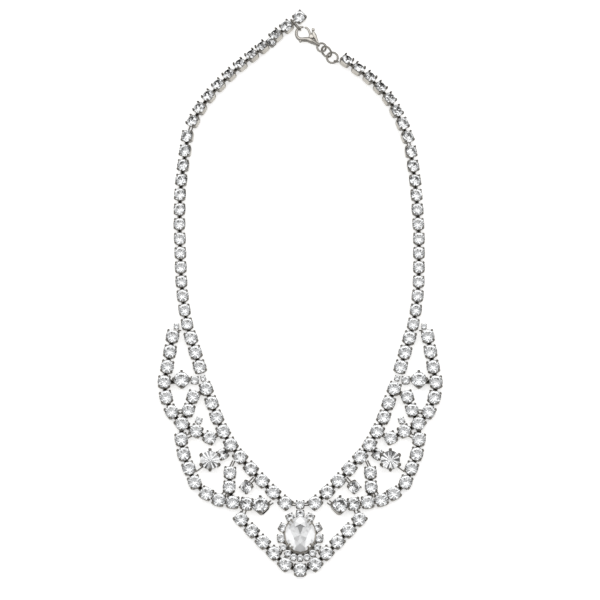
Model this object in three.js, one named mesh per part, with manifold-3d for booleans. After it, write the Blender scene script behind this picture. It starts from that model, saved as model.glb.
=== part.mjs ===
import * as THREE from "three";
import { mergeVertices } from "three/addons/utils/BufferGeometryUtils.js";
import Module from "manifold-3d";

const wasm = await Module();
wasm.setup();

// All lengths are in millimetres and all angles in degrees.
// The necklace lies closed on a table: the clasp is at +Y, the bib at -Y, and the stones look up.
const deg = Math.PI / 180;

// Sizes of the settings: width of the cup, height of the stone's table, and the share of that
// height that is cup wall.
const cups = {
  neck: { width: 4.6, height: 3.6, wall: 0.62 },
  edge: { width: 4.2, height: 1.8, wall: 0.62 },
  bib: { width: 5.1, height: 4.1, wall: 0.62 },
  cross: { width: 4.9, height: 4.1, wall: 0.62 },
  small: { width: 3.5, height: 3.4, wall: 0.62 },
  tiny: { width: 2.2, height: 2.4, wall: 0.6 },
  square: { width: 3.4, height: 3.6, wall: 0.62 },
  corner: { width: 6.0, height: 4.8, wall: 0.6 },
  big: { width: 5.8, height: 5.2, wall: 0.58 },
  round: { width: 6.6, height: 5.2, wall: 0.55 },
  halo: { width: 3.0, height: 3.6, wall: 0.7 },
  haloSmall: { width: 2.3, height: 3.2, wall: 0.7 },
};

// The links between two cups of one chain.
const linkWidth = 1.4;
const linkHeight = 0.9;
const linkLevel = 1.3;
const tabLevel = 1.3;

// Chains round the neck. Each runs along a smooth line with its stones spread evenly, and its
// cups lean away from the neck by an angle that changes from the first stone to the last.
const neckChains = [
  {
    name: "neck_chain_left_upper", cup: "neck", count: 7, leanFrom: 36, leanTo: 24,
    line: [[-17.0, 89.3], [-24.2, 83.2], [-31.9, 75.2], [-35.6, 70.2], [-38.6, 64.7]],
  },
  {
    name: "neck_chain_left_middle", cup: "neck", count: 7, leanFrom: 20, leanTo: 4,
    line: [[-40.7, 59.2], [-42.3, 48.4], [-43.6, 37.4], [-44.0, 26.0]],
  },
  {
    name: "neck_chain_left_lower", cup: "neck", count: 7, leanFrom: 0, leanTo: 0,
    line: [[-44.0, 20.5], [-43.8, 14.5], [-43.3, 2.5], [-42.2, -6.9], [-41.3, -11.9]],
  },
  {
    name: "neck_chain_right_upper", cup: "neck", count: 8, leanFrom: -34, leanTo: -20,
    line: [[16.4, 87.3], [24.6, 81.2], [31.5, 73.8], [36.6, 64.3], [38.7, 58.8]],
  },
  {
    name: "neck_chain_right_middle", cup: "neck", count: 6, leanFrom: -16, leanTo: -2,
    line: [[40.0, 53.4], [41.6, 43.0], [42.7, 31.8], [43.1, 26.0]],
  },
  {
    name: "neck_chain_right_lower", cup: "neck", count: 7, leanFrom: 0, leanTo: 0,
    line: [[43.4, 20.5], [43.4, 14.5], [43.2, 2.5], [42.2, -6.9], [41.3, -11.9]],
  },
];

// The last stones of the left chain, past the clasp, where the chain is bunched up.
const endStones = [
  { x: -0.1, y: 104.6, heading: 222, lean: 6, tip: 0, cup: "neck" },
  { x: -4.5, y: 100.6, heading: 223, lean: 22, tip: 0, cup: "neck" },
  { x: -8.2, y: 97.1, heading: 224, lean: 32, tip: 0, cup: "neck" },
  { x: -10.75, y: 94.7, heading: 223, lean: 0, tip: 90, cup: "edge" },
  { x: -13.2, y: 92.5, heading: 222, lean: 36, tip: 0, cup: "neck" },
];

// Chains of the bib, given for the right half and mirrored to the left half.
const bibChains = [
  { name: "inner_row_upper", cup: "bib", count: 3, line: [[39.9, -17.2], [38.3, -22.6], [36.7, -28.2]] },
  {
    name: "inner_row_middle", cup: "bib", count: 5,
    line: [[34.3, -36.4], [32.3, -41.8], [30.5, -47.2], [28.1, -52.5], [25.3, -57.6]],
  },
  {
    name: "inner_row_lower", cup: "bib", count: 5,
    line: [[21.9, -62.2], [17.9, -66.8], [13.9, -71.3], [9.8, -75.6], [5.4, -79.6]],
  },
  {
    name: "outer_lobe_upper", cup: "bib", count: 7,
    line: [[46.6, -16.6], [48.5, -27.9], [49.6, -33.8], [49.0, -39.6], [46.9, -45.2], [43.2, -49.7]],
  },
  { name: "outer_lobe_side", cup: "bib", count: 4, line: [[43.4, -55.6], [42.5, -61.2], [38.5, -71.8]] },
  { name: "outer_lobe_lower", cup: "bib", count: 4, line: [[34.2, -76.1], [29.9, -78.4], [19.5, -80.0]] },
  { name: "slanting_chain", cup: "cross", count: 2, line: [[39.1, -39.5], [40.8, -44.6]] },
  { name: "lower_crossbar", cup: "cross", count: 2, line: [[38.0, -52.5], [33.0, -55.1]] },
  { name: "upright_chain", cup: "cross", count: 2, line: [[25.6, -68.2], [25.9, -73.6]] },
  { name: "lower_row", cup: "bib", count: 5, line: [[21.6, -85.8], [13.7, -94.3], [5.5, -102.8]] },
];

// Single settings of the bib, for the right half and mirrored too.
const bibSingles = [
  { name: "lobe_bead", cup: "tiny", x: 45.2, y: -12.6, heading: 0 },
  { name: "row_bead", cup: "tiny", x: 35.4, y: -32.3, heading: 73 },
  { name: "crossbar_setting", cup: "big", x: 43.3, y: -33.2, heading: 45 },
  { name: "crossbar_bead", cup: "tiny", x: 38.5, y: -33.0, heading: 0 },
  { name: "standing_bead", cup: "tiny", x: 37.0, y: -48.3, heading: 20 },
  { name: "round_setting", cup: "round", x: 32.9, y: -63.7, heading: 22.5 },
  { name: "square_setting", cup: "square", x: 28.3, y: -61.2, heading: -30 },
  { name: "side_setting", cup: "small", x: 19.6, y: -73.6, heading: -45, tip: 62 },
  { name: "corner_setting", cup: "corner", x: 13.3, y: -81.6, heading: 45 },
];

// Single settings on the middle line.
const middleSingles = [
  { name: "bib_middle_setting", cup: "small", x: 0, y: -80.1, heading: 0 },
  { name: "lower_row_middle", cup: "bib", x: 0, y: -104.9, heading: 0 },
];

// Link tabs that reach from a piece towards its neighbour: from one point to another, and width.
const tabs = [
  { piece: "outer_lobe_upper", x: 46.6, y: -16.6, toX: 43.3, toY: -15.7, width: 1.2 },
  { piece: "slanting_chain", x: 39.1, y: -39.5, toX: 37.5, toY: -37.7, width: 1.2 },
  { piece: "lower_crossbar", x: 38.0, y: -52.5, toX: 40.4, toY: -51.2, width: 1.2 },
  { piece: "upright_chain", x: 25.6, y: -68.2, toX: 24.4, toY: -65.6, width: 1.4 },
  { piece: "side_setting", x: 19.6, y: -73.6, toX: 17.9, toY: -71.5, width: 1.2 },
  { piece: "corner_setting", x: 13.3, y: -81.6, toX: 11.1, toY: -79.2, width: 1.6 },
  { piece: "corner_setting", x: 13.3, y: -81.6, toX: 13.4, toY: -77.3, width: 0.9 },
  { piece: "round_setting", x: 32.9, y: -63.7, toX: 37.6, toY: -67.3, width: 0.6 },
  { piece: "bib_middle_setting", x: 0, y: -80.1, toX: 2.2, toY: -80.1, width: 1.2 },
  { piece: "bib_middle_setting", x: 0, y: -80.1, toX: -2.2, toY: -80.1, width: 1.2 },
];

// The large oval stone and the ring of small stones round it.
const centreY = -92.1;
const centreHalfWidth = 5.1;
const centreHalfLength = 6.35;
const centreTop = 6.2;
const centreFoot = 1.5;
const haloPlateHeight = 1.2;
const haloPlateHalfWidth = 6.5;
const haloPlateHalfLength = 7.6;
const haloStones = [
  { x: 0, y: -83.9, cup: "halo" },
  { x: 3.6, y: -85.2, cup: "halo" },
  { x: 6.3, y: -88.9, cup: "halo" },
  { x: 6.9, y: -92.9, cup: "halo" },
  { x: 6.2, y: -96.3, cup: "haloSmall" },
  { x: 4.5, y: -98.5, cup: "haloSmall" },
  { x: 2.4, y: -100.0, cup: "haloSmall" },
  { x: 0, y: -100.3, cup: "haloSmall" },
];

// The clasp: a hook with a swinging lever.
const eyeX = 1.0;
const eyeY = 98.7;
const eyeRadius = 2.45;
const claspLevel = 1.6;
const pivotX = 4.1;
const pivotY = 97.3;
const pinRadius = 0.35;
const thumbX = 4.75;
const thumbY = 100.1;
const tailHoleX = 6.6;
const tailHoleY = 94.4;
const tailHoleRadius = 0.6;
const slotLow = 0.9;
const slotHigh = 2.3;
const leverLow = 1.2;
const leverHigh = 2.0;
// Along the hook from its tip to the tail: position, and half of the bar's width and height.
const hookTable = [
  { angle: 88, width: 0.34, height: 0.5 },
  { angle: 118, width: 0.42, height: 0.56 },
  { angle: 155, width: 0.46, height: 0.6 },
  { angle: 200, width: 0.52, height: 0.75 },
  { angle: 245, width: 0.66, height: 1.0 },
];
const bodyTable = [
  { x: 2.9, y: 96.3, width: 1.1, height: 1.4 },
  { x: 4.1, y: 96.1, width: 1.5, height: 1.5 },
  { x: 5.3, y: 95.5, width: 1.1, height: 1.3 },
  { x: 6.2, y: 94.75, width: 0.7, height: 1.15 },
  { x: 7.5, y: 93.65, width: 0.5, height: 0.95 },
];

// Rings: centre, radius of the wire's middle line and of the wire, turn round Z after a tilt from
// lying flat, and how far the two halves are drawn apart to make a long link.
const rings = [
  {
    name: "hook_link", x: -1.65, y: 101.86, z: 1.76, radius: 1.5, wire: 0.25, turn: -48, tilt: 90,
    reach: 1.2,
  },
  { name: "clasp_ring", x: 7.85, y: 93.37, z: 1.6, radius: 1.6, wire: 0.3, turn: -45, tilt: 0, reach: 0 },
  { name: "middle_ring", x: 9.65, y: 91.57, z: 2.02, radius: 2.1, wire: 0.3, turn: -45, tilt: 55, reach: 0 },
  { name: "chain_ring", x: 11.77, y: 89.45, z: 1.6, radius: 2.0, wire: 0.3, turn: -45, tilt: 0, reach: 0 },
];
// The small eye at the start of the right chain that the last ring runs through.
const chainEye = { x: 13.19, y: 88.03, z: 1.6, radius: 0.8, wire: 0.22, turn: -12, tilt: 90, reach: 0 };
const ringSides = 14;
const wireSides = 6;

const metal = { color: 0xc9c7c2, metalness: 0.9, roughness: 0.25 };
const crystal = { color: 0xe9eef0, metalness: 0.1, roughness: 0.1 };

const group = new THREE.Group();

// A three.js geometry as a solid.
function solidOf(geometry) {
  geometry.deleteAttribute("normal");
  geometry.deleteAttribute("uv");
  const merged = mergeVertices(geometry, 1e-5);
  const mesh = new wasm.Mesh({
    numProp: 3,
    vertProperties: new Float32Array(merged.attributes.position.array),
    triVerts: new Uint32Array(merged.index.array),
  });
  return new wasm.Manifold(mesh);
}

function facesSolid(points, triangles) {
  const geometry = new THREE.BufferGeometry();
  geometry.setAttribute("position", new THREE.Float32BufferAttribute(points.flat(), 3));
  geometry.setIndex(triangles.flat());
  return solidOf(geometry);
}

function unite(solids) {
  return solids.reduce((whole, solid) => whole.add(solid));
}

function addNode(name, solid, look) {
  const mesh = solid.getMesh();
  const geometry = new THREE.BufferGeometry();
  geometry.setAttribute("position", new THREE.Float32BufferAttribute(mesh.vertProperties, 3));
  geometry.setIndex(Array.from(mesh.triVerts));
  const node = new THREE.Mesh(geometry, new THREE.MeshStandardMaterial(look));
  node.name = name;
  group.add(node);
}

// An upright cylinder between two levels.
function upright(x, y, radius, low, high, sides) {
  const geometry = new THREE.CylinderGeometry(radius, radius, high - low, sides);
  geometry.rotateX(90 * deg);
  geometry.translate(x, y, (low + high) / 2);
  return solidOf(geometry);
}

// A turned body from a profile of radius and height, stretched to an oval and stood on +Z.
function turned(profile, sides, halfWidth = 1, halfLength = 1) {
  const points = profile.map(([radius, height]) => new THREE.Vector2(radius, height));
  const geometry = new THREE.LatheGeometry(points, sides);
  geometry.rotateX(90 * deg);
  geometry.scale(halfWidth, halfLength, 1);
  return solidOf(geometry);
}

// One stone in its cup: a square foot, walls that open out to eight sides, and the stone's
// crown with a flat table on top.
function cupSolid({ width, height, wall }) {
  const half = width / 2;
  const foot = half * 0.68;
  const inner = half * 0.56;
  const level = height * wall;
  const points = [[foot, -foot, 0], [foot, foot, 0], [-foot, foot, 0], [-foot, -foot, 0]];
  const sides = [[1, -0.6], [1, 0.6], [0.6, 1], [-0.6, 1], [-1, 0.6], [-1, -0.6], [-0.6, -1], [0.6, -1]];
  for (const [x, y] of sides) {
    points.push([half * x, half * y, level]);
  }
  for (let i = 0; i < 8; i += 1) {
    const angle = (45 * i - 22.5) * deg;
    points.push([inner * Math.cos(angle), inner * Math.sin(angle), height]);
  }
  const triangles = [[0, 3, 2], [0, 2, 1]];
  for (let i = 0; i < 4; i += 1) {
    const next = (i + 1) % 4;
    const left = 4 + 2 * i;
    const right = left + 1;
    const after = 4 + ((2 * i + 2) % 8);
    triangles.push([i, next, right], [i, right, left], [next, after, right]);
  }
  for (let i = 0; i < 8; i += 1) {
    const next = (i + 1) % 8;
    triangles.push([4 + i, 4 + next, 12 + next], [4 + i, 12 + next, 12 + i]);
  }
  for (let i = 1; i < 7; i += 1) {
    triangles.push([12, 12 + i, 13 + i]);
  }
  return facesSolid(points, triangles);
}

// A round cup with more sides, for the large round stone.
function roundSolid({ width, height, wall }) {
  const half = width / 2;
  const profile = [[0, 0], [half * 0.66, 0], [half, height * wall], [half * 0.56, height], [0, height]];
  return turned(profile, 12);
}

// Where a cup stands: turned to its heading, leaned and tipped, and let down onto the table.
function place(cup, { x, y, heading = 0, lean = 0, tip = 0 }) {
  const matrix = new THREE.Matrix4().makeRotationZ(heading * deg);
  matrix.multiply(new THREE.Matrix4().makeRotationX(lean * deg));
  matrix.multiply(new THREE.Matrix4().makeRotationY(tip * deg));
  const solid = (cup === cups.round ? roundSolid(cup) : cupSolid(cup)).transform(matrix.elements);
  const drop = -solid.boundingBox().min[2];
  matrix.setPosition(x, y, drop);
  const anchor = new THREE.Vector3(0, 0, linkLevel).applyMatrix4(matrix);
  return { solid: solid.translate([x, y, drop]), anchor };
}

// A flat bar between two points.
function bar(from, to, width, height) {
  const along = to.clone().sub(from);
  const side = new THREE.Vector3(0, 0, 1).cross(along).normalize();
  const up = along.clone().cross(side).normalize();
  const geometry = new THREE.BoxGeometry(along.length(), width, height);
  geometry.applyMatrix4(new THREE.Matrix4().makeBasis(along.clone().normalize(), side, up));
  const middle = from.clone().add(to).multiplyScalar(0.5);
  geometry.translate(middle.x, middle.y, middle.z);
  return solidOf(geometry);
}

// Cups in a line with links between them.
function chainSolid(stones) {
  const placed = stones.map((stone) => place(cups[stone.cup], stone));
  const parts = placed.map((item) => item.solid);
  for (let i = 1; i < placed.length; i += 1) {
    parts.push(bar(placed[i - 1].anchor, placed[i].anchor, linkWidth, linkHeight));
  }
  return unite(parts);
}

// A piece with its link tabs.
function withTabs(name, solid) {
  let whole = solid;
  for (const { x, y, toX, toY, width } of tabs.filter((tab) => tab.piece === name)) {
    const from = new THREE.Vector3(x, y, tabLevel);
    const to = new THREE.Vector3(toX, toY, tabLevel);
    whole = whole.add(bar(from, to, width, linkHeight));
  }
  return whole;
}

// The stones of a chain, spread evenly along its line.
function spread({ line, count, cup, leanFrom = 0, leanTo = 0 }) {
  const points = line.map(([x, y]) => new THREE.Vector3(x, y, 0));
  const curve = new THREE.CatmullRomCurve3(points, false, "centripetal");
  const stones = [];
  for (let i = 0; i < count; i += 1) {
    const share = i / (count - 1);
    const point = curve.getPointAt(share);
    const tangent = curve.getTangentAt(share);
    stones.push({
      x: point.x,
      y: point.y,
      heading: Math.atan2(tangent.y, tangent.x) / deg,
      lean: leanFrom + (leanTo - leanFrom) * share,
      cup,
    });
  }
  return stones;
}

// A ring of round wire, or a long link where its two halves are drawn apart.
function ringSolid({ x, y, z, radius, wire, turn, tilt, reach }) {
  const geometry = new THREE.TorusGeometry(radius, wire, wireSides, ringSides);
  const position = geometry.attributes.position;
  for (let i = 0; i < position.count; i += 1) {
    position.setX(i, position.getX(i) + Math.sign(position.getX(i)) * reach);
  }
  geometry.rotateX(tilt * deg);
  geometry.rotateZ(turn * deg);
  geometry.translate(x, y, z);
  return solidOf(geometry);
}

function mirrored(solid) {
  return solid.mirror([1, 0, 0]);
}

function addPair(name, solid) {
  addNode(`${name}_right`, solid, metal);
  addNode(`${name}_left`, mirrored(solid), metal);
}

// Neck chains.
addNode("neck_chain_left_end", chainSolid(endStones), metal);
for (const chain of neckChains) {
  const stones = spread(chain);
  let solid = chainSolid(stones);
  if (chain.name === "neck_chain_right_upper") {
    const start = new THREE.Vector3(chainEye.x + chainEye.radius, chainEye.y - 0.17, chainEye.z);
    const end = place(cups.neck, stones[0]).anchor;
    solid = solid.add(ringSolid(chainEye)).add(bar(start, end, 1.0, 0.8));
  }
  addNode(chain.name, solid, metal);
}

// Bib.
for (const chain of bibChains) {
  addPair(chain.name, withTabs(chain.name, chainSolid(spread(chain))));
}
for (const single of bibSingles) {
  addPair(single.name, withTabs(single.name, place(cups[single.cup], single).solid));
}
for (const single of middleSingles) {
  addNode(single.name, withTabs(single.name, place(cups[single.cup], single).solid), metal);
}

// Centre piece: a plate that carries the ring of small cups and the large stone's foot.
const haloParts = [
  turned(
    [[0, 0], [1, 0], [1, haloPlateHeight], [0, haloPlateHeight]],
    20,
    haloPlateHalfWidth,
    haloPlateHalfLength,
  ).translate([0, centreY, 0]),
];
for (const stone of haloStones) {
  const heading = Math.atan2(stone.y - centreY, stone.x) / deg;
  const solid = place(cups[stone.cup], { ...stone, heading }).solid;
  haloParts.push(solid);
  if (stone.x > 0) {
    haloParts.push(mirrored(solid));
  }
}
addNode("centre_setting", unite(haloParts), metal);
const stoneProfile = [
  [0, centreFoot], [0.55, centreFoot], [1, 4.4], [1, 4.9], [0.64, centreTop], [0, centreTop],
];
addNode(
  "centre_stone",
  turned(stoneProfile, 16, centreHalfWidth, centreHalfLength).translate([0, centreY, 0]),
  crystal,
);

// Clasp body: a bar of eight sides along the hook and the body, with a slot and a pin for the
// lever and a hole through its tail for the first ring.
const hookPath = [
  ...hookTable.map(({ angle, width, height }) => ({
    x: eyeX + eyeRadius * Math.cos(angle * deg),
    y: eyeY + eyeRadius * Math.sin(angle * deg),
    width,
    height,
  })),
  ...bodyTable,
];

// How much further an octagon's corners reach than its flats.
const octagonReach = 1.08;

// A bar of eight sides whose width and height change from spot to spot.
function barAlong(path, level) {
  const sides = 8;
  const points = [];
  const triangles = [];
  path.forEach((spot, i) => {
    const before = path[Math.max(i - 1, 0)];
    const after = path[Math.min(i + 1, path.length - 1)];
    const along = new THREE.Vector2(after.x - before.x, after.y - before.y).normalize();
    for (let j = 0; j < sides; j += 1) {
      const angle = ((j + 0.5) * 2 * Math.PI) / sides;
      const across = spot.width * octagonReach * Math.cos(angle);
      const up = spot.height * octagonReach * Math.sin(angle);
      points.push([spot.x - along.y * across, spot.y + along.x * across, level + up]);
    }
  });
  const last = (path.length - 1) * sides;
  for (let low = 0; low < last; low += sides) {
    for (let j = 0; j < sides; j += 1) {
      const k = (j + 1) % sides;
      triangles.push([low + j, low + k, low + sides + k], [low + j, low + sides + k, low + sides + j]);
    }
  }
  for (let j = 1; j < sides - 1; j += 1) {
    triangles.push([0, j + 1, j], [last, last + j, last + j + 1]);
  }
  return facesSolid(points, triangles);
}

const tailHole = upright(0, 0, tailHoleRadius, -3, 3, 10).rotate([90, 0, 0]).rotate([0, 0, -40])
  .translate([tailHoleX, tailHoleY, claspLevel]);
const slot = upright(pivotX, pivotY, 1.5, slotLow, slotHigh, 16);
const pin = upright(pivotX, pivotY, pinRadius, slotLow - 0.2, slotHigh + 0.2, 8);
addNode("clasp_body", barAlong(hookPath, claspLevel)
  .add(upright(pivotX, pivotY, 1.15, 0.3, 2.9, 14))
  .subtract(slot)
  .add(pin)
  .subtract(tailHole), metal);

// Clasp lever: a ring round the pin, a curved gate and a thumb knob.
const leverHalf = (leverHigh - leverLow) / 2 / octagonReach;
const gatePath = [{ x: pivotX - 0.15, y: pivotY + 0.6, width: 0.45, height: leverHalf }];
for (const angle of [10, 30, 50, 69]) {
  gatePath.push({
    x: eyeX + eyeRadius * Math.cos(angle * deg),
    y: eyeY + eyeRadius * Math.sin(angle * deg),
    width: 0.36,
    height: leverHalf,
  });
}
const thumbStem = bar(
  new THREE.Vector3(pivotX, pivotY, claspLevel),
  new THREE.Vector3(thumbX, thumbY, claspLevel),
  0.7,
  0.7,
);
addNode("clasp_lever", upright(pivotX, pivotY, 1.1, leverLow, leverHigh, 14)
  .add(barAlong(gatePath, (leverLow + leverHigh) / 2))
  .add(thumbStem)
  .add(upright(thumbX, thumbY, 0.6, leverLow, leverHigh + 0.4, 10))
  .subtract(upright(pivotX, pivotY, pinRadius + 0.3, 0, 3, 12)), metal);

for (const ring of rings) {
  addNode(ring.name, ringSolid(ring), metal);
}

// Move the whole so that the middle of its footprint is the origin and it stands on Z = 0.
const bounds = new THREE.Box3().setFromObject(group);
const shift = new THREE.Vector3(
  -(bounds.min.x + bounds.max.x) / 2,
  -(bounds.min.y + bounds.max.y) / 2,
  -bounds.min.z,
);
for (const node of group.children) {
  node.geometry.translate(shift.x, shift.y, shift.z);
}

export default group;
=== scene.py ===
import math

import bmesh
import bpy
from mathutils import Matrix, Vector


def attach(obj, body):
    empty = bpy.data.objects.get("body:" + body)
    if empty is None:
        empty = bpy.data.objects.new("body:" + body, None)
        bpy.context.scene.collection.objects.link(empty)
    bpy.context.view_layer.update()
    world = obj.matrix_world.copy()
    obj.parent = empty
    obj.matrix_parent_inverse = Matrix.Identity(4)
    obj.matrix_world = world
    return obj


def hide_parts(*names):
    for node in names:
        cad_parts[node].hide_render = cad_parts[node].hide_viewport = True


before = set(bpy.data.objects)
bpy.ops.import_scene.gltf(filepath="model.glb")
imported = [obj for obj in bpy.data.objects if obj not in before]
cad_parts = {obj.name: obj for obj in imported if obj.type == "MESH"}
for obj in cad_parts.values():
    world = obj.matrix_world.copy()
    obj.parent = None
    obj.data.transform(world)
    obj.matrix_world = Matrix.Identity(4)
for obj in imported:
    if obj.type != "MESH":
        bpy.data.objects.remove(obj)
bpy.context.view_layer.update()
mm = 0.001
print("frame loaded:", len(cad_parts), "nodes")


# Shared helpers.

class Wire:
    # An output socket that works in Python expressions.
    def __init__(self, graph, socket):
        self.graph = graph
        self.socket = socket

    def maths(self, operation, first, second):
        return self.graph.add("ShaderNodeMath", {"operation": operation}, {0: first, 1: second})[0]

    def __add__(self, other):
        return self.maths("ADD", self, other)

    def __sub__(self, other):
        return self.maths("SUBTRACT", self, other)

    def __mul__(self, other):
        return self.maths("MULTIPLY", self, other)


class Graph:
    # A node tree; add() takes a node's type, its settings, and the values or links of its sockets.
    def __init__(self, tree):
        self.tree = tree

    def add(self, kind, settings=None, sockets=None):
        node = self.tree.nodes.new(kind)
        for name, value in (settings or {}).items():
            if name == "stops":
                self.setStops(node.color_ramp, value)
            else:
                setattr(node, name, value)
        for key, value in (sockets or {}).items():
            for item in value if isinstance(value, list) else [value]:
                if isinstance(item, Wire):
                    self.tree.links.new(item.socket, node.inputs[key])
                else:
                    node.inputs[key].default_value = item
        return Made(self, node)

    def setStops(self, ramp, stops):
        while len(ramp.elements) < len(stops):
            ramp.elements.new(0.5)
        for element, (position, tone) in zip(ramp.elements, stops):
            element.position = position
            element.color = (tone, tone, tone, 1)


class Made:
    # A node that was added: made["Color"] or made[0] is one of its outputs.
    def __init__(self, graph, node):
        self.graph = graph
        self.node = node

    def __getitem__(self, key):
        return Wire(self.graph, self.node.outputs[key])


def newMaterial(name):
    material = bpy.data.materials.new(name)
    material.use_nodes = True
    material.node_tree.nodes.clear()
    return material, Graph(material.node_tree)


def newMesh(name, points, faces, sharpAngle=None):
    mesh = bpy.data.meshes.new(name)
    mesh.from_pydata([tuple(point) for point in points], [], faces)
    work = bmesh.new()
    work.from_mesh(mesh)
    bmesh.ops.remove_doubles(work, verts=work.verts, dist=1e-7)
    bmesh.ops.recalc_face_normals(work, faces=work.faces)
    work.to_mesh(mesh)
    work.free()
    if sharpAngle is not None:
        mesh.polygons.foreach_set("use_smooth", [True] * len(mesh.polygons))
        mesh.set_sharp_from_angle(angle=math.radians(sharpAngle))
    return mesh


def newObject(name, mesh):
    made = bpy.data.objects.new(name, mesh)
    bpy.context.scene.collection.objects.link(made)
    return made


def newTree(name, inputs):
    # A Geometry Nodes tree with a geometry input, the named inputs and a geometry output.
    tree = bpy.data.node_groups.new(name, "GeometryNodeTree")
    tree.interface.new_socket("Geometry", in_out="INPUT", socket_type="NodeSocketGeometry")
    for label, kind in inputs.items():
        tree.interface.new_socket(label, in_out="INPUT", socket_type="NodeSocket" + kind)
    tree.interface.new_socket("Geometry", in_out="OUTPUT", socket_type="NodeSocketGeometry")
    graph = Graph(tree)
    return tree, graph, graph.add("NodeGroupInput")


def settled(name, holder, tree, values):
    # The result of the tree on the holder's mesh, as one plain object at the origin.
    modifier = holder.modifiers.new("shape", "NODES")
    modifier.node_group = tree
    for item in tree.interface.items_tree:
        if item.in_out == "INPUT" and item.name in values:
            modifier[item.identifier] = values[item.name]
    depsgraph = bpy.context.evaluated_depsgraph_get()
    mesh = bpy.data.meshes.new_from_object(
        holder.evaluated_get(depsgraph), preserve_all_data_layers=True, depsgraph=depsgraph)
    mesh.name = name
    bpy.data.objects.remove(holder)
    return newObject(name, mesh)


def finishPiece(piece, body, nodes):
    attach(piece, body)
    if nodes:
        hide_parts(*nodes)


# Finishes.

def makeSilver():
    look = {
        "bright": (0.80, 0.765, 0.705), "dull": (0.50, 0.465, 0.415), "black": (0.022, 0.019, 0.016),
        "smooth": 0.13, "worn": 0.38, "grain": 0.12, "metallic": 0.72,
    }
    material, graph = newMaterial("rhodiumSilver")
    place = graph.add("ShaderNodeTexCoord")["Object"]
    cloud = graph.add("ShaderNodeTexNoise", {}, {"Vector": place, "Scale": 420.0, "Detail": 3.0})["Fac"]
    fine = graph.add("ShaderNodeTexNoise", {}, {"Vector": place, "Scale": 2600.0, "Detail": 2.0})["Fac"]
    # painted shade: the attribute read here darkens the silver towards black and roughens it a little,
    # inside cups, in their slots, on prongs, wires, rings, the centre's seat and the clasp's sides
    shade = graph.add("ShaderNodeAttribute", {"attribute_name": "shade"})["Fac"]
    unshaded = graph.add("ShaderNodeMix", {"data_type": "RGBA"}, {
        0: (cloud - 0.35) * 1.6, 6: (*look["bright"], 1), 7: (*look["dull"], 1)})[2]
    colour = graph.add("ShaderNodeMix", {"data_type": "RGBA"}, {
        0: shade, 6: unshaded, 7: (*look["black"], 1)})[2]
    bump = graph.add("ShaderNodeBump", {}, {
        "Strength": look["grain"], "Distance": 0.00002, "Height": fine})["Normal"]
    surface = graph.add("ShaderNodeBsdfPrincipled", {}, {
        "Base Color": colour, "Metallic": look["metallic"], "Normal": bump,
        "Roughness": cloud * (look["worn"] - look["smooth"]) + (shade * 0.3 + look["smooth"])})
    graph.add("ShaderNodeOutputMaterial", {}, {"Surface": surface["BSDF"]})
    return material


def makeCrystal():
    material, graph = newMaterial("cutCrystal")
    place = graph.add("ShaderNodeTexCoord")["Object"]
    dust = graph.add("ShaderNodeTexNoise", {}, {"Vector": place, "Scale": 900.0, "Detail": 1.0})["Fac"]
    surface = graph.add("ShaderNodeBsdfPrincipled", {}, {
        "Base Color": (1.0, 1.0, 1.0, 1), "Roughness": dust * 0.02, "IOR": 1.56,
        "Transmission Weight": 1.0})
    graph.add("ShaderNodeOutputMaterial", {}, {"Surface": surface["BSDF"]})
    return material


def makeFoil(name, roughness):
    material, graph = newMaterial(name)
    place = graph.add("ShaderNodeTexCoord")["Object"]
    cloud = graph.add("ShaderNodeTexNoise", {}, {"Vector": place, "Scale": 700.0, "Detail": 1.0})["Fac"]
    colour = graph.add("ShaderNodeMix", {"data_type": "RGBA"}, {
        0: cloud, 6: (0.98, 0.98, 0.98, 1), 7: (0.88, 0.89, 0.90, 1)})[2]
    # painted reflection: the attribute read here darkens chosen facets of the foil towards grey
    shade = graph.add("ShaderNodeAttribute", {"attribute_name": "shade"})["Fac"]
    colour = graph.add("ShaderNodeMix", {"data_type": "RGBA"}, {
        0: shade, 6: colour, 7: (0.30, 0.30, 0.30, 1)})[2]
    surface = graph.add("ShaderNodeBsdfPrincipled", {}, {
        "Base Color": colour, "Metallic": 1.0, "Roughness": roughness})
    graph.add("ShaderNodeOutputMaterial", {}, {"Surface": surface["BSDF"]})
    return material


silver = makeSilver()
crystal = makeCrystal()
foil = makeFoil("mirrorFoil", 0.03)
softFoil = makeFoil("softFoil", 0.30)
print("finishes made")


# Places of the settings, read off the frame's nodes. Sizes in mm: width of the cup and height
# of the stone's table.

cupSizes = {
    "neck": (4.6, 3.6), "bib": (5.1, 4.1), "cross": (4.9, 4.1), "small": (3.5, 3.4),
    "tiny": (2.2, 2.4), "square": (3.4, 3.6), "corner": (6.0, 4.8), "big": (5.8, 5.2), "round": (6.6, 5.2),
    "halo": (3.0, 3.6), "haloSmall": (2.3, 3.2),
}
tableShare = 0.28  # radius of the frame's table facet as a share of the cup's width
footShare = 0.34   # half the side of its foot, the same way
centre = Vector((0, -92.07, 0)) * mm


def flatPatches(node):
    # Each flat patch of a node's surface: its middle, its normal, its area and its corners.
    work = bmesh.new()
    work.from_mesh(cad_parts[node].data)
    bmesh.ops.remove_doubles(work, verts=work.verts, dist=1e-6)
    seen = set()
    patches = []
    for start in work.faces:
        if start.index in seen:
            continue
        seen.add(start.index)
        patch, waiting = [start], [start]
        while waiting:
            for edge in waiting.pop().edges:
                for other in edge.link_faces:
                    if other.index not in seen and other.normal.dot(start.normal) > 0.99995:
                        seen.add(other.index)
                        patch.append(other)
                        waiting.append(other)
        area = sum(face.calc_area() for face in patch)
        middle = sum((face.calc_center_median() * face.calc_area() for face in patch), Vector()) / area
        corners = {vertex.index: vertex.co.copy() for face in patch for vertex in face.verts}
        patches.append((middle, start.normal.copy(), area, list(corners.values())))
    work.free()
    return patches


def standing(foot, side, up):
    # The place of a cup as a matrix: origin at the middle of its foot, Z out of its stone.
    across = up.cross(side).normalized()
    return Matrix.Translation(foot) @ Matrix((across.cross(up), across, up)).transposed().to_4x4()


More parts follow.
